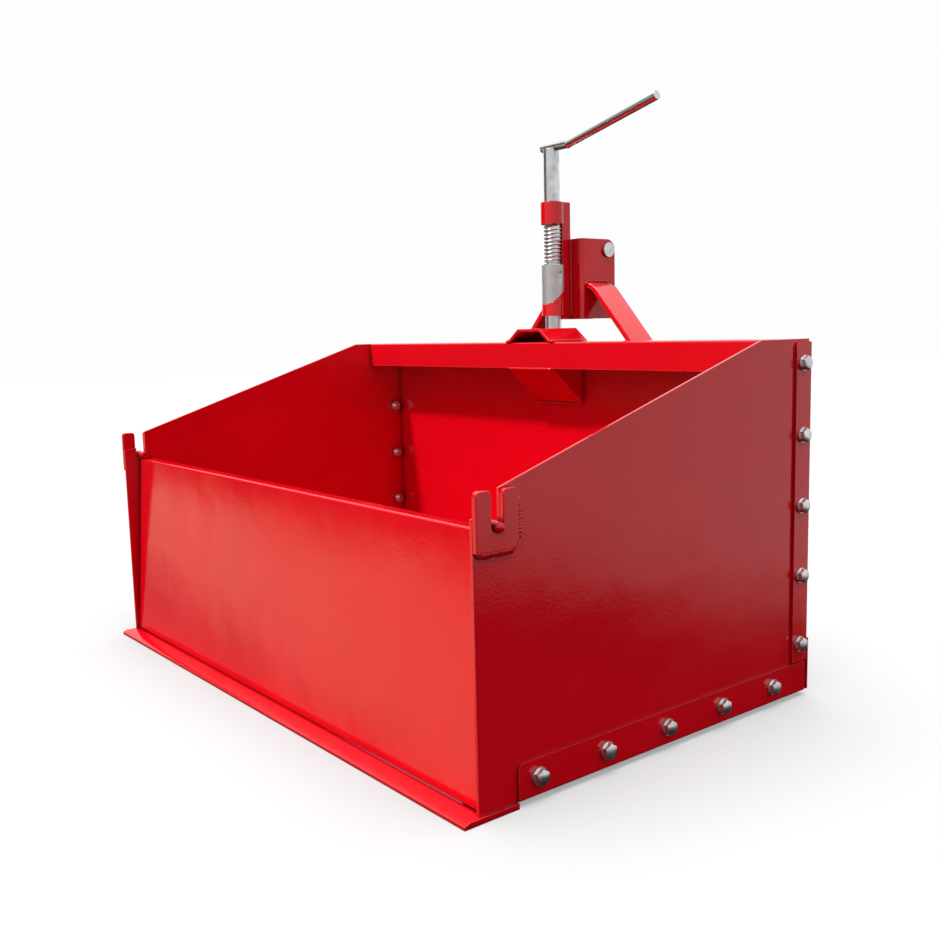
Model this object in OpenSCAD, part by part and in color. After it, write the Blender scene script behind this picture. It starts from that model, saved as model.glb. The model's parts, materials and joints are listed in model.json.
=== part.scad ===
// Tipping transport box for a tractor's three-point hitch.
// +X is the box's right-hand side, -Y its front (cutting edge and flap), +Y the tractor side.
// The origin is on the ground, midway across the box and midway from cutting edge to tower.
// Distances named *_at are measured back from the cutting edge; at() turns them into Y.

/* [Tub] */
// Width across the outer faces of the two side panels
tub_w = 1100; // [1000:10:1300]
// Depth from the cutting edge to the outer face of the back
tub_d = 694; // [680:1:720]
// Height of the back's top edge above the ground
back_h = 563; // [555:1:570]
// Depth of the level part of each side panel's top edge
level_d = 122; // [110:1:140]
// Slope of the rest of the top edge, in degrees
slope_deg = 17.5; // [16:0.5:18]
// Thickness of the tub's sheet metal
sheet_t = 4; // [3:0.5:4]
// Depth of the beam folded forward from the top of the back
beam_d = 84; // [80:1:90]
// Height of the beam's front lip
lip_h = 49; // [45:1:55]
// Height of the floor's flanges outside the side panels
floor_flange_h = 50; // [45:1:55]
// Width of the back's flanges outside the side panels
back_flange_w = 40; // [38:1:45]

/* [Cutting bar] */
// Depth of the flat bar along the front edge
bar_d = 87; // [80:1:95]
// Thickness of the flat bar
bar_t = 8; // [8:1:10]

/* [Flap] */
// Height of the flap's folded top edge above the ground
flap_top_h = 352; // [345:1:352]
// Diameter of the flap's two carrying pins
flap_pin_dia = 14; // [12:1:14]
// Width of the open slots that the pins drop into
slot_w = 18; // [17:0.5:20]

/* [Hitch] */
// Distance between the shoulders of the lower link pins
lower_span = 683; // [683:1:690]
// Diameter of the lower link pins
lower_pin_dia = 22; // [20:0.5:22]
// Height of the lower link pins above the ground
lower_pin_h = 277; // [270:1:280]
// Height of the top link pin above the lower link pins
mast_h = 460; // [455:1:465]
// Diameter of the top link pin
top_pin_dia = 19; // [18:0.5:19]
// Gap between the tower's side plates
tower_gap = 52; // [50:1:54]

/* [Latch] */
// Diameter of the latch rod
rod_dia = 30; // [28:1:30]
// Diameter of the handle bar
handle_dia = 16; // [14:1:18]
// Number of active turns of the latch spring
spring_turns = 10; // [8:1:10]

/* [Hidden] */

$fn = 64;
eps = 1;                 // how far a cutter runs past the face that it cuts
paint = "#c8141c";
zinc = "#c9cdd0";

// overall depth, and the turn from "back from the cutting edge" to Y
tower_rear_at = tub_d + 114;
front_y = -tower_rear_at / 2;
function at(d) = front_y + d;

// tub
half_w = tub_w / 2;
in_x = half_w - sheet_t;
out_x = half_w + sheet_t;
floor_z = bar_t;
floor_top = floor_z + sheet_t;
back_in = tub_d - sheet_t;
panel_front_at = 25;
level_front_at = back_in - level_d + sheet_t;
tongue_at = 50;
beam_at = tub_d - beam_d;
flange_gap = 2;
back_flange_low = floor_z + floor_flange_h + flange_gap;
back_flange_drop = 5;
corner_r = 8;

// flap and its carrying ears
ear_t = 8;
ear_d = 66;
ear_low = 330;
ear_top = 403.5;
ear_round = 6;
ear_chamfer = 9;
slot_at = 58;
slot_round_z = flap_top_h + slot_w / 2;
flap_pin_z = flap_top_h + flap_pin_dia / 2;
flap_gap = 0.3;
flap_front_at = 31;
flap_lean = 4;
flap_low = 11;
flap_return = 28;
flap_side_gap = 3;
prong_z = 373;

// fasteners, M12
bolt_head_af = 19;
bolt_head_h = 7.5;
bolt_r = 6;
bolt_hole_r = 6.5;
washer_r = 12;
washer_t = 2.5;
nut_h = 12;
bolt_end = 3;
row_first_at = 119.6;
row_pitch = 120.8;
row_z = 34;
column_at = tub_d - 23;
column_first_z = 88.6;
column_pitch = 109.6;
bolt_count = 5;

// pivot and lower hitch
pivot_at = 758;
pivot_z = lower_pin_h;
pin_r = lower_pin_dia / 2;
running_gap = 0.06;
shoulder_x = lower_span / 2;
collar_t = 6;
collar_r = 18;
lug_t = 10;
lug_r = 26;
lug_outer_x = shoulder_x - collar_t - 0.5 - lug_t;
plate_t = 12;
plate_x = lug_outer_x - 1 - plate_t;
lug_inner_x = plate_x - 1 - lug_t;
pin_inner_x = lug_inner_x - 4;
pin_outer_x = shoulder_x + 58;
pin_hole_x = shoulder_x + 44;
pin_hole_r = 6;
bar_sq = 60;
bar_wall = 5;
crossbar_low = pivot_z + 63;
crossbar_top = crossbar_low + bar_sq;
frame_at = pivot_at - bar_sq / 2;

// tower and top link pin
tower_t = 8;
tower_x = tower_gap / 2 + tower_t;
tower_front_at = 718;
tower_low = 605;
top_pin_z = lower_pin_h + mast_h;
tower_round = 20;
tower_top = top_pin_z + tower_round;
top_pin_at = tower_rear_at - tower_round;
top_pin_r = top_pin_dia / 2;
linchpin_x = -(tower_x + 9);
ring_x = linchpin_x - 7.5;
ring_r = 17.5;
ring_wire_r = 2.2;
ring_hinge_z = top_pin_z + 22;

// latch
rod_at = 674;
rod_r = rod_dia / 2;
neck_r = rod_r - 3;
rod_low = back_h + 4;
collar_od_r = 21;
collar_top = 707;
cam_slope_deg = 40.4;    // angle of the plane cut on the collar and the lower sleeve
cam_mid_z = 651;
cam_gap = 0.3;
sleeve_r = 21.5;
sleeve_low_z = 612;
sleeve_up_z = 783;
sleeve_up_h = 41;
seat_t = 2;
seat_r = 17;
spring_wire_r = 1.9;
spring_r = 16.3 - spring_wire_r;
stem_low = sleeve_up_z + sleeve_up_h + 1;
handle_z = 925;
handle_r = handle_dia / 2;
stem_top = handle_z - 3;
neck_top = stem_low + 25;

// keeper on the beam
keeper_foot_x = 63;
keeper_top_x = 31;
keeper_h = 25;
keeper_t = 6;
keeper_at = 608;
keeper_d = 96;

// ---------- shared shapes ----------

// a flat outline drawn in (Y, Z), made into a plate of thickness t that starts at x
module plate_x_at(x, t) {
  translate([x, 0, 0]) rotate([90, 0, 90]) linear_extrude(height = t) children();
}

// the same outline on both sides of the box
module both_sides() {
  children();
  mirror([1, 0, 0]) children();
}

// a quarter disc that closes the outside of a bend, towards the quadrant (sx, sy)
module bend_disc(r, sx, sy) {
  intersection() {
    circle(r = r);
    translate([sx > 0 ? 0 : -r, sy > 0 ? 0 : -r]) square(r);
  }
}

// an upright strip with both top corners rounded
module round_top_strip(w, h, r) {
  square([w, h - r]);
  translate([r, h - r]) circle(r = r);
  translate([w - r, h - r]) circle(r = r);
  translate([r, h - r - eps]) square([w - 2 * r, r + eps]);
}

// an open-topped slot that ends in a half round
module slot_outline() {
  translate([at(slot_at), slot_round_z]) circle(r = slot_w / 2);
  translate([at(slot_at) - slot_w / 2, slot_round_z]) square([slot_w, back_h]);
}

// the five bolt places along the floor flange, then the five up the back flange
function bolt_places() = concat(
  [for (i = [0 : bolt_count - 1]) [at(row_first_at + i * row_pitch), row_z]],
  [for (i = [0 : bolt_count - 1]) [at(column_at), column_first_z + i * column_pitch]]
);

module bolt_hole_cutters() {
  for (p = bolt_places())
    translate([in_x - eps, p[0], p[1]]) rotate([0, 90, 0])
      cylinder(r = bolt_hole_r, h = 2 * sheet_t + 2 * eps, $fn = 32);
}

// ---------- tub ----------

// floor, back, top beam and lip in section, all folded from one sheet
module tub_section() {
  floor_y = at(bar_d);
  inner_y = at(back_in);
  beam_y = at(beam_at);
  translate([floor_y, floor_z]) square([inner_y - floor_y, sheet_t]);
  translate([inner_y, floor_top]) bend_disc(sheet_t, 1, -1);
  translate([inner_y, floor_top]) square([sheet_t, back_h - sheet_t - floor_top]);
}

module beam_section() {
  inner_y = at(back_in);
  beam_y = at(beam_at);
  translate([inner_y, back_h - sheet_t]) bend_disc(sheet_t, 1, 1);
  translate([beam_y + sheet_t, back_h - sheet_t]) square([inner_y - beam_y - sheet_t, sheet_t]);
  translate([beam_y + sheet_t, back_h - sheet_t]) bend_disc(sheet_t, -1, 1);
  translate([beam_y, back_h - lip_h]) square([sheet_t, lip_h - sheet_t]);
}

// outline of the floor's upturned flange, seen from the side
module floor_flange_outline() {
  y0 = at(bar_d);
  y1 = at(back_in - flange_gap);
  z0 = floor_top;
  z1 = floor_z + floor_flange_h;
  translate([y0, z0]) square([y1 - y0, z1 - z0 - corner_r]);
  translate([y0 + corner_r, z1 - corner_r]) circle(r = corner_r);
  translate([y0 + corner_r, z1 - corner_r - eps]) square([y1 - y0 - corner_r, corner_r + eps]);
}

// outline of the back's forward flange, seen from the side
module back_flange_outline() {
  y0 = at(tub_d - back_flange_w);
  y1 = at(back_in);
  z0 = back_flange_low;
  z1 = back_h - back_flange_drop;
  translate([y0, z0]) square([y1 - y0, z1 - z0 - corner_r]);
  translate([y0 + corner_r, z1 - corner_r]) circle(r = corner_r);
  translate([y0 + corner_r, z1 - corner_r - eps]) square([y1 - y0 - corner_r, corner_r + eps]);
}

// bends that join the flanges to the floor and to the back
module flange_bends() {
  translate([half_w, at(back_in - flange_gap), floor_top]) rotate([90, 0, 0])
    linear_extrude(height = back_in - flange_gap - bar_d) bend_disc(sheet_t, 1, -1);
  translate([half_w, at(back_in), back_flange_low])
    linear_extrude(height = back_h - back_flange_drop - back_flange_low) bend_disc(sheet_t, 1, 1);
}

module tub_sheet() {
  color(paint) difference() {
    union() {
      plate_x_at(-half_w, tub_w) tub_section();
      plate_x_at(-in_x, 2 * in_x) beam_section();
      translate([-in_x, at(tongue_at), floor_z]) cube([2 * in_x, bar_d - tongue_at + eps, sheet_t]);
      both_sides() {
        plate_x_at(half_w, sheet_t) floor_flange_outline();
        plate_x_at(half_w, sheet_t) back_flange_outline();
        flange_bends();
      }
    }
    both_sides() bolt_hole_cutters();
  }
}

module panel_outline() {
  slope_drop = (level_front_at - slot_at) * tan(slope_deg);
  difference() {
    polygon([
      [at(panel_front_at), floor_z], [at(bar_d), floor_z], [at(bar_d), floor_top],
      [at(back_in), floor_top], [at(back_in), back_h], [at(level_front_at), back_h],
      [at(slot_at), back_h - slope_drop], [at(slot_at), prong_z], [at(panel_front_at), prong_z - 2]
    ]);
    slot_outline();
  }
}

module side_panel() {
  difference() {
    plate_x_at(in_x, sheet_t) panel_outline();
    bolt_hole_cutters();
  }
}

module side_panel_right() { color(paint) side_panel(); }
module side_panel_left() { color(paint) mirror([1, 0, 0]) side_panel(); }

// flat bar with a long bevel along its top front edge
module cutting_bar() {
  bevel_d = 8;
  bevel_h = 3;
  color(paint) plate_x_at(-out_x, 2 * out_x) polygon([
    [at(0), 0], [at(bar_d), 0], [at(bar_d), bar_t], [at(bevel_d), bar_t], [at(0), bar_t - bevel_h]
  ]);
}

// runner under the floor, as deep as the cutting bar is thick
module skid(x) {
  skid_w = 60;
  skid_end = 14;
  color(paint) plate_x_at(x - skid_w / 2, skid_w) polygon([
    [at(bar_d + 6), 0], [at(back_in - skid_end), 0], [at(back_in), bar_t], [at(bar_d + 6), bar_t]
  ]);
}

module skid_left() { skid(-0.32 * tub_w); }
module skid_right() { skid(0.32 * tub_w); }

// two small lugs on the bar that the flap's lower edge closes against
module flap_stops() {
  lug_w = 30;
  color(paint) both_sides()
    translate([in_x - 45, at(37), bar_t]) cube([lug_w, 12, 20]);
}

// slotted plate that carries one flap pin, outside the side panel
module ear() {
  prong_d = slot_at - slot_w / 2 - panel_front_at;
  rear_d = ear_d - prong_d - slot_w;
  y0 = at(panel_front_at);
  body_h = slot_round_z - ear_low;
  plate_x_at(half_w, ear_t) difference() {
    union() {
      translate([y0, ear_low + ear_chamfer]) square([ear_d, body_h - ear_chamfer]);
      polygon([
        [y0, ear_low], [y0 + ear_d - ear_chamfer, ear_low],
        [y0 + ear_d, ear_low + ear_chamfer], [y0, ear_low + ear_chamfer]
      ]);
      translate([y0, slot_round_z - eps]) round_top_strip(prong_d, ear_top - slot_round_z + eps, ear_round);
      translate([y0 + prong_d + slot_w, slot_round_z - eps])
        round_top_strip(rear_d, ear_top - slot_round_z + eps, ear_round);
    }
    slot_outline();
  }
}

module ear_right() { color(paint) ear(); }
module ear_left() { color(paint) mirror([1, 0, 0]) ear(); }

// pocket brace under the beam: a sloping plate closed by a gusset at each end
brace_w = 128;
brace_drop = 70;
brace_rise = 6;
brace_run = back_in - beam_at;

module brace_plate() {
  lip_z = back_h - lip_h;
  color(paint) plate_x_at(-brace_w / 2, brace_w) polygon([
    [at(beam_at), lip_z], [at(back_in), lip_z - brace_drop],
    [at(back_in), lip_z - brace_drop + brace_rise],
    [at(beam_at + brace_rise * brace_run / brace_drop), lip_z]
  ]);
}

module brace_gussets() {
  lip_z = back_h - lip_h;
  color(paint) both_sides() plate_x_at(brace_w / 2 - sheet_t, sheet_t) polygon([
    [at(beam_at + sheet_t), lip_z], [at(beam_at + brace_rise * brace_run / brace_drop), lip_z],
    [at(back_in), lip_z - brace_drop + brace_rise], [at(back_in), back_h - sheet_t],
    [at(beam_at + sheet_t), back_h - sheet_t]
  ]);
}

// hat-shaped plate on the beam, with the hole that the latch rod drops into
module latch_keeper() {
  run = keeper_foot_x - keeper_top_x;
  wall = keeper_t / sin(atan2(keeper_h, run));
  under_h = keeper_h - keeper_t;
  under_x = keeper_foot_x - wall - under_h * run / keeper_h;
  color(paint) translate([0, at(keeper_at), back_h]) difference() {
    translate([0, keeper_d, 0]) rotate([90, 0, 0]) linear_extrude(height = keeper_d) difference() {
      polygon([
        [-keeper_foot_x, 0], [-keeper_top_x, keeper_h], [keeper_top_x, keeper_h], [keeper_foot_x, 0]
      ]);
      polygon([
        [-keeper_foot_x + wall, 0], [-under_x, under_h], [under_x, under_h], [keeper_foot_x - wall, 0],
        [keeper_foot_x - wall, -eps], [-keeper_foot_x + wall, -eps]
      ]);
    }
    translate([0, rod_at - keeper_at, 0]) cylinder(r = rod_r + 2, h = keeper_h + eps);
  }
}

// strip welded across the foot of the back
module rear_doubler() {
  color(paint) translate([-out_x + 1, at(tub_d), floor_z + 1])
    cube([2 * out_x - 2, sheet_t, 84]);
}

// eye plate on the back that turns on a lower link pin
module pivot_lug(x) {
  plate_x_at(x, lug_t) difference() {
    union() {
      translate([at(pivot_at), pivot_z]) circle(r = lug_r);
      polygon([
        [at(tub_d), pivot_z - 82], [at(pivot_at), pivot_z - lug_r],
        [at(pivot_at), pivot_z + lug_r], [at(tub_d), pivot_z + 58]
      ]);
    }
    translate([at(pivot_at), pivot_z]) circle(r = pin_r + running_gap);
  }
}

module pivot_lugs() {
  pivot_lug(lug_inner_x);
  pivot_lug(lug_outer_x);
}

module pivot_lugs_right() { color(paint) pivot_lugs(); }
module pivot_lugs_left() { color(paint) mirror([1, 0, 0]) pivot_lugs(); }

// ---------- fasteners ----------

// hexagon across the flats af, its far corners turned off at 30 degrees
module turned_hexagon(af, h) {
  corner = af / 2 / cos(30);
  face_r = 0.46 * af;
  turned_h = (corner + 0.2 - face_r) * tan(30);
  intersection() {
    cylinder(r = corner, h = h, $fn = 6);
    union() {
      cylinder(r = corner + 0.2, h = h - turned_h);
      translate([0, 0, h - turned_h]) cylinder(r1 = corner + 0.2, r2 = face_r, h = turned_h);
    }
  }
}

module bolt_set() {
  for (p = bolt_places())
    translate([out_x + washer_t, p[0], p[1]]) rotate([0, 90, 0]) {
      turned_hexagon(bolt_head_af, bolt_head_h);
      translate([0, 0, -washer_t - 2 * sheet_t - nut_h - bolt_end])
        cylinder(r = bolt_r, h = washer_t + 2 * sheet_t + nut_h + bolt_end, $fn = 32);
    }
}

module washer_set() {
  for (p = bolt_places())
    translate([out_x, p[0], p[1]]) rotate([0, 90, 0]) difference() {
      cylinder(r = washer_r, h = washer_t, $fn = 48);
      translate([0, 0, -eps]) cylinder(r = bolt_hole_r, h = washer_t + 2 * eps, $fn = 32);
    }
}

// self-locking nut: a hexagon with a round collar
module nut_set() {
  hex_h = nut_h - 4;
  for (p = bolt_places())
    translate([in_x, p[0], p[1]]) rotate([0, -90, 0]) difference() {
      union() {
        cylinder(r = bolt_head_af / 2 / cos(30), h = hex_h, $fn = 6);
        cylinder(r = bolt_head_af / 2 - 1, h = nut_h, $fn = 32);
      }
      translate([0, 0, -eps]) cylinder(r = bolt_r + 0.05, h = nut_h + 2 * eps, $fn = 32);
    }
}

module bolts_right() { color(zinc) bolt_set(); }
module bolts_left() { color(zinc) mirror([1, 0, 0]) bolt_set(); }
module washers_right() { color(zinc) washer_set(); }
module washers_left() { color(zinc) mirror([1, 0, 0]) washer_set(); }
module nuts_right() { color(zinc) nut_set(); }
module nuts_left() { color(zinc) mirror([1, 0, 0]) nut_set(); }

// ---------- hitch frame ----------

// one side plate of the tower, seen from the side, with its rounded top rear corner
module tower_side_outline() {
  y0 = at(tower_front_at);
  y1 = at(tower_rear_at);
  difference() {
    union() {
      translate([y0, tower_low]) square([y1 - y0, tower_top - tower_round - tower_low]);
      translate([y0, tower_low]) square([y1 - y0 - tower_round, tower_top - tower_low]);
      translate([at(top_pin_at), top_pin_z]) circle(r = tower_round);
    }
    translate([at(top_pin_at), top_pin_z]) circle(r = top_pin_r + 0.25);
  }
}

// channel open to the rear, bent from one plate, that holds the top link
module tower_channel() {
  web_y = at(tower_front_at + tower_t);
  color(paint) {
    both_sides() plate_x_at(tower_gap / 2, tower_t) difference() {
      tower_side_outline();
      translate([at(tower_front_at) - eps, tower_low - eps])
        square([tower_t + eps, tower_top - tower_low + 2 * eps]);
    }
    translate([-tower_gap / 2, at(tower_front_at), tower_low])
      cube([tower_gap, tower_t, tower_top - tower_low]);
    both_sides() translate([tower_gap / 2, web_y, tower_low])
      linear_extrude(height = tower_top - tower_low) bend_disc(tower_t, 1, -1);
  }
}

// upright plate that ties both guide sleeves to the tower
module web_plate() {
  web_t = 8;
  web_low = tower_low + 2;
  front = rod_at + sleeve_r;
  color(paint) translate([-web_t / 2, at(front), web_low])
    cube([web_t, tower_front_at - front, sleeve_up_z + sleeve_up_h + 2 - web_low]);
}

module guide_sleeve_upper() {
  color(paint) translate([0, at(rod_at), sleeve_up_z]) difference() {
    cylinder(r = sleeve_r, h = sleeve_up_h);
    translate([0, 0, -eps]) cylinder(r = neck_r + running_gap, h = sleeve_up_h + 2 * eps);
  }
}

// everything above the sloping cam plane, which falls towards the front
module above_cam_plane(lift) {
  big = 200;
  translate([0, at(rod_at), cam_mid_z + lift]) rotate([cam_slope_deg, 0, 0])
    translate([-big / 2, -big / 2, 0]) cube([big, big, big]);
}

module guide_sleeve_lower() {
  color(paint) difference() {
    translate([0, at(rod_at), sleeve_low_z]) cylinder(r = sleeve_r, h = 70);
    translate([0, at(rod_at), sleeve_low_z - eps]) cylinder(r = rod_r + running_gap, h = 72);
    above_cam_plane(-cam_gap / 2);
  }
}

// flat bar from the tower down to the crossbar, bent near its top end
leg_t = 10;
leg_slope_deg = 47.9;    // fall of the long part below level
leg_head_deg = 26.9;     // fall of the short part next to the tower
leg_bend_x = 57.7;
leg_bend_z = 664;

module leg() {
  head_z = leg_bend_z + (leg_bend_x - tower_x) * tan(leg_head_deg);
  foot_x = leg_bend_x + (leg_bend_z - crossbar_top) / tan(leg_slope_deg);
  mid_deg = (leg_slope_deg + leg_head_deg) / 2;
  half_turn = (leg_slope_deg - leg_head_deg) / 2;
  reach = leg_t / cos(half_turn);
  translate([0, at(frame_at) + bar_sq, 0]) rotate([90, 0, 0]) linear_extrude(height = bar_sq) polygon([
    [tower_x, head_z], [leg_bend_x, leg_bend_z], [foot_x, crossbar_top],
    [foot_x - leg_t / sin(leg_slope_deg), crossbar_top],
    [leg_bend_x - reach * sin(mid_deg), leg_bend_z - reach * cos(mid_deg)],
    [tower_x, head_z - leg_t / cos(leg_head_deg)]
  ]);
}

module leg_right() { color(paint) leg(); }
module leg_left() { color(paint) mirror([1, 0, 0]) leg(); }

module crossbar() {
  color(paint) translate([-plate_x, at(frame_at), crossbar_low]) difference() {
    cube([2 * plate_x, bar_sq, bar_sq]);
    translate([-eps, bar_wall, bar_wall])
      cube([2 * plate_x + 2 * eps, bar_sq - 2 * bar_wall, bar_sq - 2 * bar_wall]);
  }
}

// upright plate at the end of the crossbar that holds a lower link pin
module hitch_plate() {
  plate_x_at(plate_x, plate_t) difference() {
    union() {
      translate([at(pivot_at), pivot_z]) circle(r = bar_sq / 2);
      translate([at(frame_at), pivot_z]) square([bar_sq, crossbar_top - pivot_z]);
    }
    translate([at(pivot_at), pivot_z]) circle(r = pin_r);
  }
}

module hitch_plate_right() { color(paint) hitch_plate(); }
module hitch_plate_left() { color(paint) mirror([1, 0, 0]) hitch_plate(); }

// lower link pin: it carries the tub's lugs inside its shoulder and the tractor's link outside
module lower_pin() {
  chamfer = 3;
  translate([0, at(pivot_at), pivot_z]) difference() {
    rotate([0, 90, 0]) {
      translate([0, 0, pin_inner_x]) cylinder(r = pin_r, h = pin_outer_x - chamfer - pin_inner_x);
      translate([0, 0, shoulder_x - collar_t]) cylinder(r = collar_r, h = collar_t);
      translate([0, 0, pin_outer_x - chamfer]) cylinder(r1 = pin_r, r2 = pin_r - chamfer, h = chamfer);
    }
    translate([pin_hole_x, 0, -lower_pin_dia]) cylinder(r = pin_hole_r, h = 2 * lower_pin_dia);
  }
}

module lower_pin_right() { color(zinc) lower_pin(); }
module lower_pin_left() { color(zinc) mirror([1, 0, 0]) lower_pin(); }

module top_link_pin() {
  head_r = 14;
  head_t = 5;
  end_x = ring_x - 6;
  color(zinc) translate([0, at(top_pin_at), top_pin_z]) difference() {
    rotate([0, 90, 0]) {
      translate([0, 0, end_x]) cylinder(r = top_pin_r, h = tower_x - end_x);
      translate([0, 0, tower_x]) cylinder(r = head_r, h = head_t);
    }
    translate([linchpin_x, 0, -top_pin_dia]) cylinder(r = 5.2, h = 2 * top_pin_dia);
  }
}

// pin dropped through the end of the top link pin, with a flat head for its ring
module top_linchpin() {
  shaft_r = 5;
  head_d = 7;
  color(zinc) translate([0, at(top_pin_at), 0]) difference() {
    union() {
      translate([linchpin_x, 0, top_pin_z - 20]) cylinder(r = shaft_r, h = 36);
      translate([ring_x - 6, -head_d / 2, top_pin_z + 14])
        cube([linchpin_x - ring_x + 6 + shaft_r, head_d, ring_hinge_z - top_pin_z - 14 + 6]);
    }
    translate([ring_x, -head_d, ring_hinge_z]) rotate([-90, 0, 0]) cylinder(r = 2.9, h = 2 * head_d);
  }
}

module linchpin_ring() {
  color(zinc) translate([ring_x, at(top_pin_at), ring_hinge_z - ring_r]) rotate([0, 90, 0])
    rotate_extrude() translate([ring_r, 0]) circle(r = ring_wire_r, $fn = 24);
}

// ---------- latch ----------

// round wire swept along a helix, as rings of points joined by quads
spring_sides = 8;
spring_steps = 16;
spring_low = collar_top + seat_t + spring_wire_r;
spring_rise = sleeve_up_z - spring_wire_r - spring_low;
spring_rings = spring_turns * spring_steps;

function helix_point(i, k) =
  let (turn = 360 * i / spring_steps, side = 360 * k / spring_sides,
       r = spring_r + spring_wire_r * cos(side))
  [r * cos(turn), r * sin(turn), spring_low + spring_rise * i / spring_rings + spring_wire_r * sin(side)];

function ring_index(i, k) = i * spring_sides + (k % spring_sides);

module latch_spring() {
  points = [for (i = [0 : spring_rings], k = [0 : spring_sides - 1]) helix_point(i, k)];
  walls = [
    for (i = [0 : spring_rings - 1], k = [0 : spring_sides - 1])
      [ring_index(i, k), ring_index(i, k + 1), ring_index(i + 1, k + 1), ring_index(i + 1, k)]
  ];
  first_end = [[for (k = [spring_sides - 1 : -1 : 0]) ring_index(0, k)]];
  last_end = [[for (k = [0 : spring_sides - 1]) ring_index(spring_rings, k)]];
  color(zinc) translate([0, at(rod_at), 0])
    polyhedron(points = points, faces = concat(walls, first_end, last_end));
}

module spring_seat() {
  color(zinc) translate([0, at(rod_at), collar_top]) difference() {
    cylinder(r = seat_r, h = seat_t);
    translate([0, 0, -eps]) cylinder(r = neck_r + running_gap, h = seat_t + 2 * eps);
  }
}

roll_pin_z = 693;
roll_pin_r = 3;

// rod with a narrower neck where the spring and the upper sleeve sit
module latch_rod() {
  tip = 3;
  color(zinc) translate([0, at(rod_at), 0]) difference() {
    union() {
      translate([0, 0, rod_low]) cylinder(r1 = rod_r - tip, r2 = rod_r, h = tip);
      translate([0, 0, rod_low + tip]) cylinder(r = rod_r, h = collar_top - rod_low - tip - 0.1);
      translate([0, 0, collar_top - eps]) cylinder(r = neck_r, h = neck_top - collar_top + eps);
    }
    translate([-rod_dia, 0, roll_pin_z]) rotate([0, 90, 0])
      cylinder(r = roll_pin_r, h = 2 * rod_dia, $fn = 32);
  }
}

// upper length of the rod, fixed on the neck above the sleeve and shaped to the handle
module latch_stem() {
  color(zinc) translate([0, at(rod_at), 0]) difference() {
    translate([0, 0, stem_low]) cylinder(r = rod_r, h = stem_top - stem_low);
    translate([0, 0, stem_low - eps]) cylinder(r = neck_r, h = neck_top - stem_low + eps);
    translate([-rod_dia, 0, handle_z]) rotate([0, 90, 0]) cylinder(r = handle_r, h = 2 * rod_dia);
  }
}

// round bar across the top of the rod, bent up towards its grip
handle_short = 20;
handle_bend_x = 45;
handle_rise_deg = 12.3;
handle_arm = 221;

module latch_handle() {
  knuckle = 0.5;
  color(zinc) translate([handle_bend_x, at(rod_at), handle_z]) {
    translate([-handle_short - handle_bend_x, 0, 0]) rotate([0, 90, 0]) {
      cylinder(r = handle_r, h = handle_short + handle_bend_x);
      sphere(r = handle_r);
    }
    rotate([0, 90 - handle_rise_deg, 0]) {
      cylinder(r = handle_r, h = handle_arm);
      sphere(r = handle_r + knuckle);
    }
  }
}

// collar pinned to the rod, with the plane cut that climbs the lower sleeve
module cam_collar() {
  color("#b9bdbb") difference() {
    intersection() {
      translate([0, at(rod_at), sleeve_low_z]) cylinder(r = collar_od_r, h = collar_top - sleeve_low_z);
      above_cam_plane(cam_gap / 2);
    }
    translate([0, at(rod_at), sleeve_low_z - eps]) cylinder(r = rod_r, h = collar_top);
    translate([-rod_dia, at(rod_at), roll_pin_z]) rotate([0, 90, 0])
      cylinder(r = roll_pin_r, h = 2 * rod_dia, $fn = 32);
  }
}

// hollow spring pin through the collar and the rod
module roll_pin() {
  length = 38;
  color(zinc) translate([-length / 2, at(rod_at), roll_pin_z]) rotate([0, 90, 0]) difference() {
    cylinder(r = roll_pin_r, h = length, $fn = 32);
    translate([0, 0, -eps]) cylinder(r = 1.8, h = length + 2 * eps, $fn = 24);
  }
}

// ---------- flap ----------

// carrying pin with a domed outer end
module flap_pin() {
  r = flap_pin_dia / 2;
  inner_x = in_x - 22;
  dome_x = half_w + ear_t + 2;
  translate([inner_x, at(slot_at), flap_pin_z + flap_gap]) rotate([0, 90, 0])
    cylinder(r = r, h = dome_x - inner_x);
  translate([dome_x, at(slot_at), flap_pin_z + flap_gap]) sphere(r = r);
}

module flap_pin_right() { color(paint) flap_pin(); }
module flap_pin_left() { color(paint) mirror([1, 0, 0]) flap_pin(); }

// sheet that closes the front, its top edge folded back
module flap_panel() {
  flap_w = 2 * (in_x - flap_side_gap);
  flap_len = (flap_top_h - flap_low) / cos(flap_lean);
  color(paint) translate([0, at(flap_front_at), flap_low]) rotate([-flap_lean, 0, 0])
    plate_x_at(-flap_w / 2, flap_w) {
      square([sheet_t, flap_len - sheet_t]);
      translate([sheet_t, flap_len - sheet_t]) bend_disc(sheet_t, -1, 1);
      translate([sheet_t, flap_len - sheet_t]) square([flap_return - sheet_t, sheet_t]);
    }
}

tub_sheet();
side_panel_left();
side_panel_right();
cutting_bar();
skid_left();
skid_right();
flap_stops();
ear_left();
ear_right();
brace_plate();
brace_gussets();
latch_keeper();
rear_doubler();
pivot_lugs_left();
pivot_lugs_right();
bolts_left();
bolts_right();
washers_left();
washers_right();
nuts_left();
nuts_right();
tower_channel();
web_plate();
guide_sleeve_upper();
guide_sleeve_lower();
leg_left();
leg_right();
crossbar();
hitch_plate_left();
hitch_plate_right();
lower_pin_left();
lower_pin_right();
top_link_pin();
top_linchpin();
linchpin_ring();
latch_spring();
spring_seat();
latch_rod();
latch_stem();
latch_handle();
cam_collar();
roll_pin();
flap_pin_left();
flap_pin_right();
flap_panel();
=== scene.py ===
import json
import math
import random

import bmesh
import bpy
from mathutils import Matrix, Vector, noise


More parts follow.
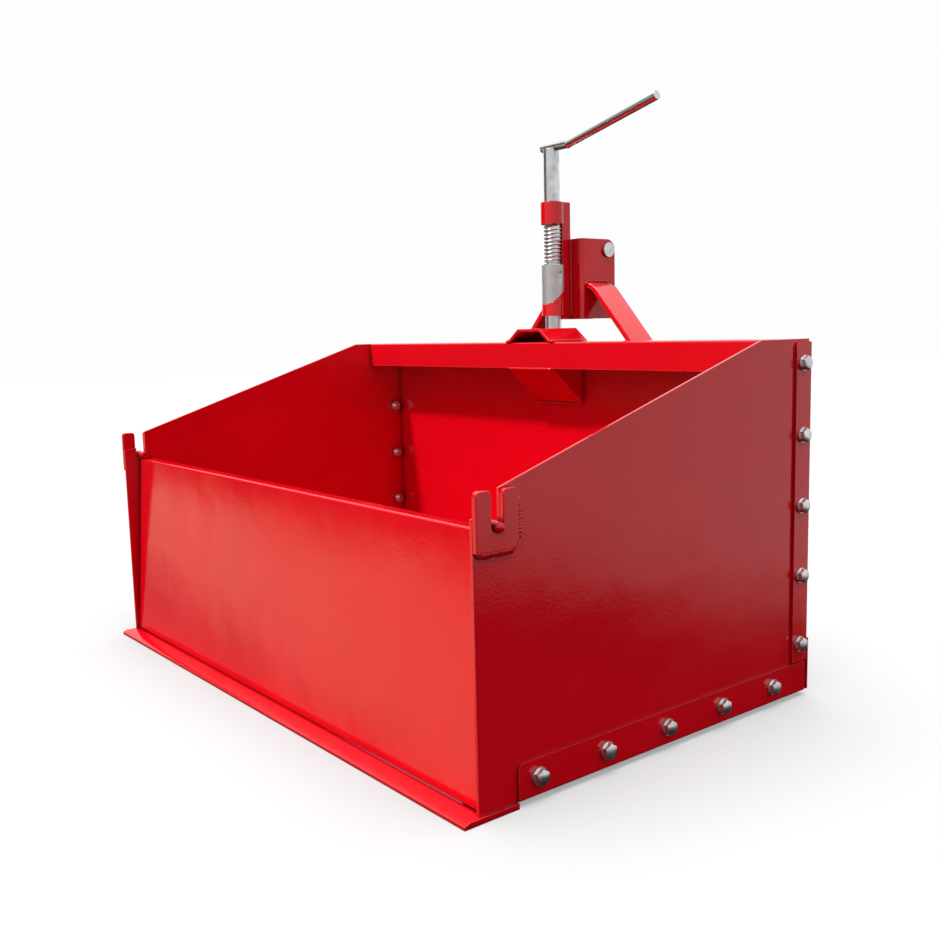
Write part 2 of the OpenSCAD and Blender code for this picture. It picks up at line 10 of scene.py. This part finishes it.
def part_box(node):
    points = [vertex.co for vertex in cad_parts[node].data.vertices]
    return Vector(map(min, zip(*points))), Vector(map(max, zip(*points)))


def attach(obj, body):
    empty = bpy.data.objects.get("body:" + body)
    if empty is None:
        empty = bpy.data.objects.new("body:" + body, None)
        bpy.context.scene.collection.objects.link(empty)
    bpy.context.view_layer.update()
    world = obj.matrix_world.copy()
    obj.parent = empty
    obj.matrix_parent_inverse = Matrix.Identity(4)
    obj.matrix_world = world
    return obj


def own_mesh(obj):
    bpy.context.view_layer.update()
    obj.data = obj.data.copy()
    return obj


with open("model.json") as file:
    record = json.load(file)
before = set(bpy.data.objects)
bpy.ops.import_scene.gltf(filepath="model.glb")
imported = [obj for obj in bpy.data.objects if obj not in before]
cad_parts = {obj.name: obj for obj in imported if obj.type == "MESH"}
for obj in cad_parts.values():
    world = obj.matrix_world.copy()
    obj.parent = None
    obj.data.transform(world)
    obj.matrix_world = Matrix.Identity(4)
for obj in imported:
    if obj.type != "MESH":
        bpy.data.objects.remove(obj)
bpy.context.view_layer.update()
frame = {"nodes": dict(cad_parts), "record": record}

scene = bpy.context.scene
nodes = frame["nodes"]
record = frame["record"]
SIDES = ((1, "right"), (-1, "left"))


# ---------------------------------------------------------------- materials

class Graph:
    """A material's node tree, with short calls for the nodes used here."""

    def __init__(self, name):
        self.mat = bpy.data.materials.new(name)
        self.mat.use_nodes = True
        self.tree = self.mat.node_tree
        self.tree.nodes.clear()
        self.out = self.tree.nodes.new("ShaderNodeOutputMaterial")
        self.shader = self.tree.nodes.new("ShaderNodeBsdfPrincipled")
        self.link(self.shader.outputs[0], self.out.inputs["Surface"])
        self.where = self.tree.nodes.new("ShaderNodeTexCoord").outputs["Object"]

    def link(self, a, b):
        self.tree.links.new(a, b)

    def put(self, socket, value):
        if hasattr(value, "is_output"):
            self.link(value, socket)
        else:
            socket.default_value = value

    def stretched(self, scale):
        n = self.tree.nodes.new("ShaderNodeMapping")
        n.inputs["Scale"].default_value = scale
        self.link(self.where, n.inputs["Vector"])
        return n.outputs[0]

    def noise(self, scale, detail=3.0, rough=0.55, vector=None, distortion=0.0):
        n = self.tree.nodes.new("ShaderNodeTexNoise")
        n.inputs["Scale"].default_value = scale
        n.inputs["Detail"].default_value = detail
        n.inputs["Roughness"].default_value = rough
        n.inputs["Distortion"].default_value = distortion
        self.link(vector or self.where, n.inputs["Vector"])
        return n.outputs["Fac"]

    def cells(self, scale, randomness=1.0):
        n = self.tree.nodes.new("ShaderNodeTexVoronoi")
        n.inputs["Scale"].default_value = scale
        n.inputs["Randomness"].default_value = randomness
        self.link(self.where, n.inputs["Vector"])
        return n.outputs["Distance"]

    def ramp(self, fac, low, high, a=0.0, b=1.0):
        n = self.tree.nodes.new("ShaderNodeMapRange")
        n.interpolation_type = "SMOOTHSTEP"
        self.link(fac, n.inputs["Value"])
        for key, value in (("From Min", low), ("From Max", high), ("To Min", a), ("To Max", b)):
            n.inputs[key].default_value = value
        return n.outputs[0]

    def math(self, kind, a, b=0.0):
        n = self.tree.nodes.new("ShaderNodeMath")
        n.operation = kind
        self.put(n.inputs[0], a)
        self.put(n.inputs[1], b)
        return n.outputs[0]

    def mix(self, fac, a, b):
        n = self.tree.nodes.new("ShaderNodeMix")
        n.data_type = "RGBA"
        self.put(n.inputs[0], fac)
        self.put(n.inputs[6], a if hasattr(a, "is_output") else (*a, 1.0))
        self.put(n.inputs[7], b if hasattr(b, "is_output") else (*b, 1.0))
        return n.outputs[2]

    def bump(self, height, strength, distance, under=None):
        n = self.tree.nodes.new("ShaderNodeBump")
        n.inputs["Strength"].default_value = strength
        n.inputs["Distance"].default_value = distance
        self.link(height, n.inputs["Height"])
        if under is not None:
            self.link(under, n.inputs["Normal"])
        return n.outputs[0]

    def edges(self, radius, low=0.02, high=0.25):
        """1 along edges, 0 on flats, from how far a rounded normal turns away."""
        bevel = self.tree.nodes.new("ShaderNodeBevel")
        bevel.samples = 4
        bevel.inputs["Radius"].default_value = radius
        geometry = self.tree.nodes.new("ShaderNodeNewGeometry")
        dot = self.tree.nodes.new("ShaderNodeVectorMath")
        dot.operation = "DOT_PRODUCT"
        self.link(bevel.outputs[0], dot.inputs[0])
        self.link(geometry.outputs["Normal"], dot.inputs[1])
        away = self.math("SUBTRACT", 1.0, dot.outputs["Value"])
        return self.ramp(away, low, high)

    def crevice(self, distance, low, high):
        """0 deep in a corner, 1 in the open: the mask for painted shade in corners."""
        n = self.tree.nodes.new("ShaderNodeAmbientOcclusion")
        n.samples = 4
        n.inputs["Distance"].default_value = distance
        return self.ramp(n.outputs["AO"], low, high)

    def set(self, **values):
        for key, value in values.items():
            self.put(self.shader.inputs[key.replace("_", " ")], value)


def red_enamel(name, deep=(0.58, 0.0010, 0.0074), bright=(0.65, 0.0014, 0.0086),
               peel=1.0, rough=0.11):
    """Glossy paint: clouded tone, dust, pale edges (partly wear, partly painted highlight), painted
    shade in corners, orange peel and slow waves.
    """
    g = Graph(name)
    cloud = g.ramp(g.noise(2.6, 4.0, 0.6), 0.30, 0.72)
    film = g.ramp(g.noise(17.0, 5.0, 0.65), 0.35, 0.70)
    tone = g.mix(cloud, deep, bright)
    tone = g.mix(g.math("MULTIPLY", film, 0.22), tone, (0.70, 0.0024, 0.0100))
    specks = g.ramp(g.cells(310.0), 0.055, 0.02)
    sparse = g.ramp(g.noise(38.0, 2.0), 0.56, 0.66)
    dust = g.math("MULTIPLY", specks, sparse)
    tone = g.mix(g.math("MULTIPLY", dust, 0.55), tone, (0.75, 0.16, 0.14))
    # Pale edges: partly wear, partly a painted highlight along every edge.
    wear_and_edge_highlight = g.math("MULTIPLY", g.edges(0.0022, 0.02, 0.25),
                  g.ramp(g.noise(120.0, 4.0), 0.34, 0.60, 0.35, 1.0))
    tone = g.mix(g.math("MULTIPLY", wear_and_edge_highlight, 0.75), tone, (0.86, 0.10, 0.085))
    # Painted shade: corners, creases and contacts darkened towards deep red.
    tone = g.mix(g.crevice(0.016, 0.35, 0.85), (0.16, 0.0004, 0.0022), tone)
    scuff = g.ramp(g.noise(26.0, 6.0, 0.7, g.stretched((1.0, 1.0, 9.0))), 0.60, 0.78)
    patchy = g.ramp(g.noise(6.0, 5.0, 0.6), 0.3, 0.75, rough - 0.04, rough + 0.05)
    roughness = g.math("ADD", patchy, g.math("MULTIPLY", scuff, 0.10))
    peel_h = g.noise(240.0, 2.0, 0.5)
    wave_h = g.noise(9.0, 2.0, 0.5)
    grit_h = g.noise(1500.0, 2.0, 0.5)
    n1 = g.bump(wave_h, 0.30 * peel, 0.0030)
    n2 = g.bump(peel_h, 0.16 * peel, 0.0006, n1)
    n3 = g.bump(grit_h, 0.10 * peel, 0.0002, n2)
    n4 = g.bump(dust, 0.50, 0.0003, n3)
    g.set(Base_Color=tone, Roughness=roughness, Normal=n4)
    g.shader.inputs["Specular IOR Level"].default_value = 0.50
    return g.mat


def zinc(name, low=(0.58, 0.60, 0.62), high=(0.82, 0.84, 0.85), rough=0.18,
         along=(1.0, 1.0, 14.0)):
    """Zinc plate: clouds, spangle, tarnish, fine lines along one axis and bright edges (partly
    wear, partly painted highlight).
    """
    g = Graph(name)
    spangle = g.ramp(g.cells(85.0), 0.10, 0.75)
    cloud = g.ramp(g.noise(42.0, 4.0, 0.6), 0.32, 0.70)
    tone = g.mix(cloud, low, high)
    tone = g.mix(g.math("MULTIPLY", spangle, 0.25), tone, (0.70, 0.73, 0.76))
    tarnish = g.ramp(g.noise(150.0, 5.0, 0.7), 0.62, 0.80)
    tone = g.mix(g.math("MULTIPLY", tarnish, 0.40), tone, (0.34, 0.33, 0.31))
    lines = g.noise(260.0, 4.0, 0.6, g.stretched(along))
    roughness = g.math("ADD", g.ramp(cloud, 0.0, 1.0, rough + 0.10, rough),
                       g.math("MULTIPLY", lines, 0.10))
    # Bright edges: partly wear, partly a painted highlight.
    wear_and_edge_highlight = g.edges(0.0010, 0.03, 0.30)
    tone = g.mix(g.math("MULTIPLY", wear_and_edge_highlight, 0.35), tone, (0.92, 0.93, 0.94))
    n1 = g.bump(lines, 0.16, 0.0003)
    n2 = g.bump(g.noise(70.0, 3.0), 0.12, 0.0008, n1)
    g.set(Base_Color=tone, Metallic=1.0, Roughness=roughness, Normal=n2)
    return g.mat


def cast_collar(name):
    g = Graph(name)
    cloud = g.ramp(g.noise(60.0, 4.0, 0.6), 0.32, 0.70)
    tone = g.mix(cloud, (0.50, 0.51, 0.505), (0.60, 0.61, 0.60))
    grain = g.noise(1100.0, 3.0, 0.6)
    pits = g.ramp(g.cells(420.0), 0.10, 0.03)
    tone = g.mix(g.math("MULTIPLY", pits, 0.30), tone, (0.30, 0.30, 0.29))
    rub = g.math("MULTIPLY", g.edges(0.0012, 0.02, 0.22), 0.5)
    tone = g.mix(rub, tone, (0.62, 0.62, 0.61))
    n1 = g.bump(grain, 0.35, 0.0003)
    n2 = g.bump(pits, -0.3, 0.0002, n1)
    roughness = g.ramp(cloud, 0.0, 1.0, 0.52, 0.40)
    g.set(Base_Color=tone, Metallic=0.80, Roughness=roughness, Normal=n2)
    return g.mat


def backdrop_white(name):
    g = Graph(name)
    cloud = g.ramp(g.noise(0.8, 3.0), 0.3, 0.7)
    tone = g.mix(cloud, (0.222, 0.222, 0.222), (0.230, 0.230, 0.230))
    grain = g.noise(420.0, 2.0)
    g.set(Base_Color=tone, Roughness=g.ramp(cloud, 0.0, 1.0, 0.88, 0.80),
          Normal=g.bump(grain, 0.05, 0.0003))
    g.shader.inputs["Specular IOR Level"].default_value = 0.10
    return g.mat


PAINT = red_enamel("red_enamel")
PAINT_ROUGH = red_enamel("red_enamel_over_weld", peel=1.6, rough=0.20)
ZINC = zinc("zinc_bar")
ZINC_BOLT = zinc("zinc_bolt", (0.66, 0.67, 0.68), (0.88, 0.89, 0.90), 0.20, (1.0, 1.0, 1.0))
SPRING = zinc("spring_steel", (0.50, 0.52, 0.54), (0.78, 0.80, 0.81), 0.20, (1.0, 1.0, 1.0))
COLLAR = cast_collar("matt_collar")
FLOOR = backdrop_white("studio_floor")

slot_material = {
    "red_enamel": PAINT,
    "zinc_fasteners": ZINC_BOLT,
    "zinc_steel": ZINC,
    "matt_collar": COLLAR,
}


# ---------------------------------------------------------------- CAD nodes: edges and finishes

def smoothing_group():
    """Merges the split vertices and shades smooth, except across edges over 32 degrees."""
    tree = bpy.data.node_groups.new("merge_and_smooth", "GeometryNodeTree")
    tree.interface.new_socket("Geometry", in_out="INPUT", socket_type="NodeSocketGeometry")
    tree.interface.new_socket("Geometry", in_out="OUTPUT", socket_type="NodeSocketGeometry")
    start = tree.nodes.new("NodeGroupInput")
    end = tree.nodes.new("NodeGroupOutput")
    merge = tree.nodes.new("GeometryNodeMergeByDistance")
    merge.inputs["Distance"].default_value = 1e-6
    faces = tree.nodes.new("GeometryNodeSetShadeSmooth")
    faces.domain = "FACE"
    faces.inputs["Shade Smooth"].default_value = True
    creases = tree.nodes.new("GeometryNodeSetShadeSmooth")
    creases.domain = "EDGE"
    creases.inputs["Shade Smooth"].default_value = False
    angle = tree.nodes.new("GeometryNodeInputMeshEdgeAngle")
    over = tree.nodes.new("FunctionNodeCompare")
    over.data_type = "FLOAT"
    over.operation = "GREATER_THAN"
    over.inputs[1].default_value = math.radians(32)
    link = tree.links.new
    link(start.outputs[0], merge.inputs["Geometry"])
    link(merge.outputs["Geometry"], faces.inputs["Geometry"])
    link(faces.outputs["Geometry"], creases.inputs["Geometry"])
    link(angle.outputs["Unsigned Angle"], over.inputs[0])
    link(over.outputs[0], creases.inputs["Selection"])
    link(creases.outputs["Geometry"], end.inputs[0])
    return tree


SMOOTH = smoothing_group()


def smooth(obj):
    mod = obj.modifiers.new("merge_and_smooth", "NODES")
    mod.node_group = SMOOTH


def flatten(obj):
    """Joins the triangles of each flat face, so that the edge radius runs cleanly round it."""
    mod = obj.modifiers.new("flat_faces", "DECIMATE")
    mod.decimate_type = "DISSOLVE"
    mod.angle_limit = math.radians(0.4)


def soften(obj, width, segments=2):
    mod = obj.modifiers.new("edge_radius", "BEVEL")
    mod.width = width
    mod.segments = segments
    mod.limit_method = "ANGLE"
    mod.angle_limit = math.radians(34)
    mod.harden_normals = True
    mod.use_clamp_overlap = True


edge_radius = {
    "tub_sheet": 0.0007, "side_panel_left": 0.0008, "side_panel_right": 0.0008,
    "flap_panel": 0.0009, "cutting_bar": 0.0004, "latch_keeper": 0.0011,
    "ear_left": 0.0013, "ear_right": 0.0013,
    "tower_channel": 0.0012, "web_plate": 0.0010, "leg_left": 0.0011, "leg_right": 0.0011,
    "guide_sleeve_upper": 0.0008, "guide_sleeve_lower": 0.0007, "cam_collar": 0.0006,
    "bolts_left": 0.0004, "bolts_right": 0.0004, "nuts_left": 0.0004, "nuts_right": 0.0004,
    "washers_left": 0.0003, "washers_right": 0.0003, "top_link_pin": 0.0010, "latch_handle": 0.0006,
}
no_bevel = {"latch_spring", "linchpin_ring", "roll_pin", "spring_seat"}
for part in record["subparts"]:
    obj = nodes[part["node"]]
    obj.data.materials.clear()
    obj.data.materials.append(slot_material[part["material_slot"]])
    smooth(obj)
    if part["node"] not in no_bevel:
        flatten(obj)
        soften(obj, edge_radius.get(part["node"], 0.0008))
nodes["latch_spring"].data.materials.clear()
nodes["latch_spring"].data.materials.append(SPRING)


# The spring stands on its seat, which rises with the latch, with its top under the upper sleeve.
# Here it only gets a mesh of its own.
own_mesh(nodes["latch_spring"])


# ---------------------------------------------------------------- weld beads

def mesh_object(name, bm, material, body):
    mesh = bpy.data.meshes.new(name)
    bmesh.ops.recalc_face_normals(bm, faces=bm.faces)
    bm.to_mesh(mesh)
    bm.free()
    obj = bpy.data.objects.new(name, mesh)
    scene.collection.objects.link(obj)
    for face in mesh.polygons:
        face.use_smooth = True
    mesh.materials.append(material)
    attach(obj, body)
    return obj


def resample(points, step):
    points = [Vector(p) for p in points]
    out = [points[0]]
    for a, b in zip(points, points[1:]):
        count = max(1, round((b - a).length / step))
        out += [a.lerp(b, i / count) for i in range(1, count + 1)]
    return out


def add_bead(bm, points, radius, seed, ripple=0.0042, sides=10, step=0.0011, inner=None):
    """A hand-laid weld bead: rippled, uneven, with tapered ends.

    inner=(side, x) keeps it from coming through a sheet."""
    rng = random.Random(seed)
    path = resample(points, step)
    rings = []
    travelled = 0.0
    offset = rng.uniform(0, 50)
    for i, p in enumerate(path):
        ahead = path[min(i + 1, len(path) - 1)]
        behind = path[max(i - 1, 0)]
        tangent = (ahead - behind).normalized()
        side = tangent.orthogonal().normalized()
        other = tangent.cross(side)
        if i:
            travelled += (p - path[i - 1]).length
        phase = (travelled / ripple + 0.3 * noise.noise(Vector((offset, travelled * 90, 0)))) % 1.0
        scallop = 0.86 + 0.22 * (1.0 - phase) ** 0.7 * min(1.0, phase * 8)
        wander = 1.0 + 0.22 * noise.noise(Vector((offset, travelled * 55, 3.0)))
        end = min(1.0, 0.35 + min(i, len(path) - 1 - i) / 4.0)
        ring = []
        for k in range(sides):
            angle = 2 * math.pi * k / sides
            spot = Vector((offset + math.cos(angle), travelled * 240, math.sin(angle)))
            rough = 1.0 + 0.12 * noise.noise(spot)
            r = radius * scallop * wander * end * rough
            at = p + (side * math.cos(angle) + other * math.sin(angle)) * r
            if inner is not None:
                at.x = inner[0] * max(inner[0] * at.x, inner[1])
            ring.append(bm.verts.new(at))
        rings.append(ring)
    for a, b in zip(rings, rings[1:]):
        for k in range(sides):
            bm.faces.new((a[k], a[(k + 1) % sides], b[(k + 1) % sides], b[k]))
    bm.faces.new(list(reversed(rings[0])))
    bm.faces.new(rings[-1])


def weld(name, paths, radius, body, seed, **extra):
    bm = bmesh.new()
    for i, points in enumerate(paths):
        add_bead(bm, points, radius, seed + 17 * i, **extra)
    return mesh_object(name, bm, PAINT_ROUGH, body)


for side, tag in SIDES:
    low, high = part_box(f"ear_{tag}")
    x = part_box(f"side_panel_{tag}")[1].x if side > 0 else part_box(f"side_panel_{tag}")[0].x
    x += side * 0.0012
    weld(f"weld_ear_{tag}", [
        [(x, high.y + 0.0008, high.z - 0.011), (x, high.y + 0.0010, low.z + 0.009)],
        [(x, high.y - 0.002, low.z + 0.004), (x, high.y - 0.011, low.z - 0.0012),
         (x, low.y + 0.004, low.z - 0.0016)],
    ], 0.0062, "tub", 11 + side, inner=(side, abs(x) - 0.0032))

keeper_low, keeper_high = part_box("latch_keeper")
for side, tag in SIDES:
    x = keeper_high.x * side
    weld(f"weld_keeper_{tag}", [[
        (x - side * 0.002, keeper_low.y - 0.0006, keeper_low.z + 0.001),
        (x + side * 0.0006, keeper_low.y + 0.004, keeper_low.z + 0.0012),
        (x + side * 0.0008, keeper_high.y - 0.018, keeper_low.z + 0.0012),
    ]], 0.0036, "tub", 31 + side)

low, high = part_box("brace_plate")
weld("weld_brace", [
    [(low.x + 0.004, y, z), (high.x - 0.004, y, z)]
    for y, z in ((low.y - 0.0002, high.z - 0.0008), (high.y - 0.0012, low.z - 0.0006))
], 0.0026, "tub", 47)

web_low, web_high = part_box("web_plate")
upper_low, upper_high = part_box("guide_sleeve_upper")
lower_low, lower_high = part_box("guide_sleeve_lower")
tower_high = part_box("tower_channel")[1]
for side, tag in SIDES:
    x = side * (web_high.x + 0.0006)
    y_sleeve = web_low.y + 0.0004
    weld(f"weld_web_{tag}", [
        [(x, web_high.y - 0.0006, web_low.z + 0.004),
         (x, web_high.y - 0.0006, tower_high.z - 0.003)],
        [(x, y_sleeve, upper_low.z + 0.003), (x, y_sleeve, upper_high.z - 0.003)],
        [(x, y_sleeve, lower_low.z + 0.003), (x, y_sleeve, lower_high.z - 0.002)],
    ], 0.0026, "hitch_frame", 61 + side)
    leg_low, leg_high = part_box(f"leg_{tag}")
    near = (leg_low.x if side > 0 else leg_high.x) + side * 0.0006
    weld(f"weld_leg_{tag}", [[
        (near, leg_low.y - 0.0004, leg_high.z - 0.009),
        (near, leg_low.y + 0.0006, leg_high.z + 0.0006),
        (near, leg_high.y - 0.002, leg_high.z + 0.0008),
    ]], 0.0036, "hitch_frame", 71 + side)

# Welds at the back and under the floor: crossbar, hitch plates, lugs, skids and doubler.
STITCH_PITCH = 0.11
beam_low, beam_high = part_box("crossbar")
for side, tag in SIDES:
    leg_low, leg_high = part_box(f"leg_{tag}")
    inner = leg_high.x if side > 0 else leg_low.x
    foot_x, foot_z = inner + side * 0.0005, beam_high.z + 0.0008
    foot = [(foot_x, beam_low.y + 0.003, foot_z), (foot_x, beam_high.y - 0.003, foot_z)]
    lug_low, lug_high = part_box(f"pivot_lugs_{tag}")
    weld(f"weld_leg_foot_{tag}", [foot], 0.0038, "hitch_frame", 81 + side)
    plate_low, plate_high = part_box(f"hitch_plate_{tag}")
    x = (plate_low.x if side > 0 else plate_high.x) - side * 0.0006
    weld(f"weld_hitch_plate_{tag}", [
        [(x, beam_high.y - 0.0006, beam_low.z + 0.004),
         (x, beam_high.y - 0.0006, beam_high.z - 0.004)],
        [(x, beam_low.y + 0.003, beam_low.z - 0.0006),
         (x, beam_high.y - 0.003, beam_low.z - 0.0006)],
    ], 0.0034, "hitch_frame", 91 + side)
    y = lug_low.y + 0.0012
    weld(f"weld_lugs_{tag}", [
        [(x, y, lug_low.z + 0.006), (x, y, lug_high.z - 0.006)]
        for x in (lug_low.x - 0.0008, lug_high.x + 0.0008)
    ], 0.0036, "tub", 101 + side)
    skid_low, skid_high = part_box(f"skid_{tag}")
    z = skid_high.z - 0.0012
    weld(f"weld_skid_{tag}", [
        [(x, skid_low.y + start + STITCH_PITCH * k, z) for start in (0.02, 0.06)]
        for x in (skid_low.x, skid_high.x) for k in range(5)
    ], 0.0026, "tub", 111 + side)

low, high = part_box("rear_doubler")
y, z = high.y - 0.0016, high.z + 0.0004
weld("weld_doubler", [
    [(x, y, z), (x + 0.045, y, z)]
    for x in [low.x + 0.02 + 0.145 * k for k in range(8)] if x + 0.045 < high.x
], 0.0024, "tub", 131)

for side, tag in SIDES:
    pin_low, pin_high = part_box(f"flap_pin_{tag}")
    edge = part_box("flap_panel")[1].x * side
    weld(f"weld_flap_pin_{tag}", [[
        (edge - side * 0.016, pin_high.y - 0.0004, pin_low.z + 0.0030),
        (edge - side * 0.002, pin_high.y - 0.0004, pin_low.z + 0.0030),
    ]], 0.0024, "flap", 141 + side)


# ---------------------------------------------------------------- camera

eye = Vector((1.47546, -1.11256, 0.58692))
yaw, pitch, roll = math.radians(-51.610), math.radians(7.614), math.radians(-1.4266)
forward = Vector((
    math.sin(yaw) * math.cos(pitch), math.cos(yaw) * math.cos(pitch), -math.sin(pitch),
))
right = Vector((math.cos(yaw), -math.sin(yaw), 0.0))
up = right.cross(forward)
side_axis = math.cos(roll) * right + math.sin(roll) * up
up_axis = -math.sin(roll) * right + math.cos(roll) * up
camera = bpy.data.objects.new("camera", bpy.data.cameras.new("camera"))
scene.collection.objects.link(camera)
camera.matrix_world = Matrix((
    (side_axis.x, up_axis.x, -forward.x, eye.x),
    (side_axis.y, up_axis.y, -forward.y, eye.y),
    (side_axis.z, up_axis.z, -forward.z, eye.z),
    (0, 0, 0, 1),
))
camera.data.sensor_width = 36.0
camera.data.lens = 39.81
camera.data.clip_start = 0.02
camera.data.clip_end = 60.0
scene.camera = camera


# ---------------------------------------------------------------- floor and light

FLOOR_HALF_SIZE = 14.0
FLOOR_CELLS = 28


def make_floor():
    bm = bmesh.new()
    half = FLOOR_HALF_SIZE
    count = FLOOR_CELLS
    grid = [[bm.verts.new((-half + 2 * half * i / count, -half + 2 * half * j / count, 0.0))
             for j in range(count + 1)] for i in range(count + 1)]
    for i in range(count):
        for j in range(count):
            bm.faces.new((grid[i][j], grid[i + 1][j], grid[i + 1][j + 1], grid[i][j + 1]))
    mesh = bpy.data.meshes.new("studio_floor")
    bm.to_mesh(mesh)
    bm.free()
    obj = bpy.data.objects.new("studio_floor", mesh)
    scene.collection.objects.link(obj)
    mesh.materials.append(FLOOR)
    return obj


floor = make_floor()


def make_world():
    """White behind the object. Each side's reflections meet a bright sky or far ground and a
    dark near ground, parted by a slightly uneven line; the front also has a dim band on top."""
    world = bpy.data.worlds.new("studio")
    scene.world = world
    world.use_nodes = True
    tree = world.node_tree
    link = tree.links.new
    background = tree.nodes["Background"]
    where = tree.nodes.new("ShaderNodeTexCoord").outputs["Generated"]

    def along(axis):
        n = tree.nodes.new("ShaderNodeVectorMath")
        n.operation = "DOT_PRODUCT"
        n.inputs[1].default_value = axis
        link(where, n.inputs[0])
        return n.outputs["Value"]

    def step(value, low, high, a, b):
        n = tree.nodes.new("ShaderNodeMapRange")
        n.interpolation_type = "SMOOTHSTEP"
        link(value, n.inputs["Value"])
        for key, v in (("From Min", low), ("From Max", high), ("To Min", a), ("To Max", b)):
            n.inputs[key].default_value = v
        return n.outputs[0]

    def calc(kind, a, b):
        n = tree.nodes.new("ShaderNodeMath")
        n.operation = kind
        for socket, v in zip(n.inputs, (a, b)):
            if hasattr(v, "is_output"):
                link(v, socket)
            else:
                socket.default_value = v
        return n.outputs[0]

    ripple = tree.nodes.new("ShaderNodeTexNoise")
    ripple.inputs["Scale"].default_value = 7.0
    ripple.inputs["Detail"].default_value = 3.0
    stretch = tree.nodes.new("ShaderNodeVectorMath")
    stretch.operation = "MULTIPLY"
    stretch.inputs[1].default_value = (1.0, 1.0, 5.0)
    link(where, stretch.inputs[0])
    link(stretch.outputs[0], ripple.inputs["Vector"])
    uneven = calc("MULTIPLY", calc("SUBTRACT", ripple.outputs["Fac"], 0.5), 0.10)

    ahead = Vector((forward.x, forward.y, 0.0)).normalized()
    height = along((0, 0, 1))
    overhead = step(height, 0.20, 0.55, 0.0, 0.82)
    above_ground = step(height, -0.066, -0.052, 0.02, 1.0)
    walls = calc("MAXIMUM", step(along(ahead), 0.10, 0.62, 0.76, 0.985), overhead)
    behind = calc("MULTIPLY", walls, above_ground)
    right_side = step(along((0.669, 0.743, 0.0)), 0.55, 0.85, 0.0, 0.80)
    right_ground = step(calc("ADD", along((0.0663, 0.2530, 0.9652)), uneven), -0.05, 0.03, 0.0, 1.0)
    front_side = step(along((-0.883, -0.469, 0.0)), 0.82, 0.92, 0.0, 1.0)
    diagonal = calc("ADD", along((0.1233, -0.6237, 0.7719)), calc("MULTIPLY", uneven, 0.35))
    front_ground = step(diagonal, 0.010, 0.026, 0.22, 0.92)
    hedge = step(calc("ADD", along((-0.0191, -0.1546, 0.9878)), uneven), 0.00, 0.04, 1.0, 0.06)
    front = calc("MULTIPLY", front_ground, hedge)
    other = calc("MAXIMUM", behind, calc("MULTIPLY", right_side, right_ground))
    not_front = calc("MULTIPLY", other, calc("SUBTRACT", 1.0, front_side))
    bright = calc("ADD", calc("MULTIPLY", front, front_side), not_front)
    link(bright, background.inputs[1])
    tint = tree.nodes.new("ShaderNodeMix")
    tint.data_type = "RGBA"
    link(calc("MULTIPLY", front_side, front_ground), tint.inputs[0])
    tint.inputs[6].default_value = (1.0, 1.0, 1.0, 1.0)
    tint.inputs[7].default_value = (1.0, 0.90, 0.60, 1.0)
    link(tint.outputs[2], background.inputs[0])


make_world()
scene.view_settings.view_transform = "Standard"
scene.view_settings.look = "None"
scene.view_settings.exposure = 0.0


def sun(name, towards, strength, spread):
    data = bpy.data.lights.new(name, "SUN")
    data.energy = strength
    data.angle = math.radians(spread)
    obj = bpy.data.objects.new(name, data)
    obj.rotation_euler = Vector(towards).to_track_quat("-Z", "Y").to_euler()
    scene.collection.objects.link(obj)
    return obj


def only_on(light, members):
    """The light shines on these objects and on nothing else."""
    group = bpy.data.collections.new(light.name + "_on")
    for obj in members:
        group.objects.link(obj)
    light.light_linking.receiver_collection = group


# The floor has its own lights and is left out of reflections and bounced light.
solid = [obj for obj in scene.objects if obj.type == "MESH" and obj != floor]
floor.visible_glossy = False
floor.visible_diffuse = False
only_on(sun("key", (0.31, 1.0, -1.42), 3.7, 5.0), solid)
only_on(sun("sky", (0.0, 0.0, -1.0), 0.8, 110.0), solid)
only_on(sun("floor_sky", (-0.03, 0.03, -1.0), 7.2, 74.0), [floor])
fill = sun("floor_fill", (0.0, 0.0, -1.0), 4.7, 10.0)
fill.data.use_shadow = False
only_on(fill, [floor])
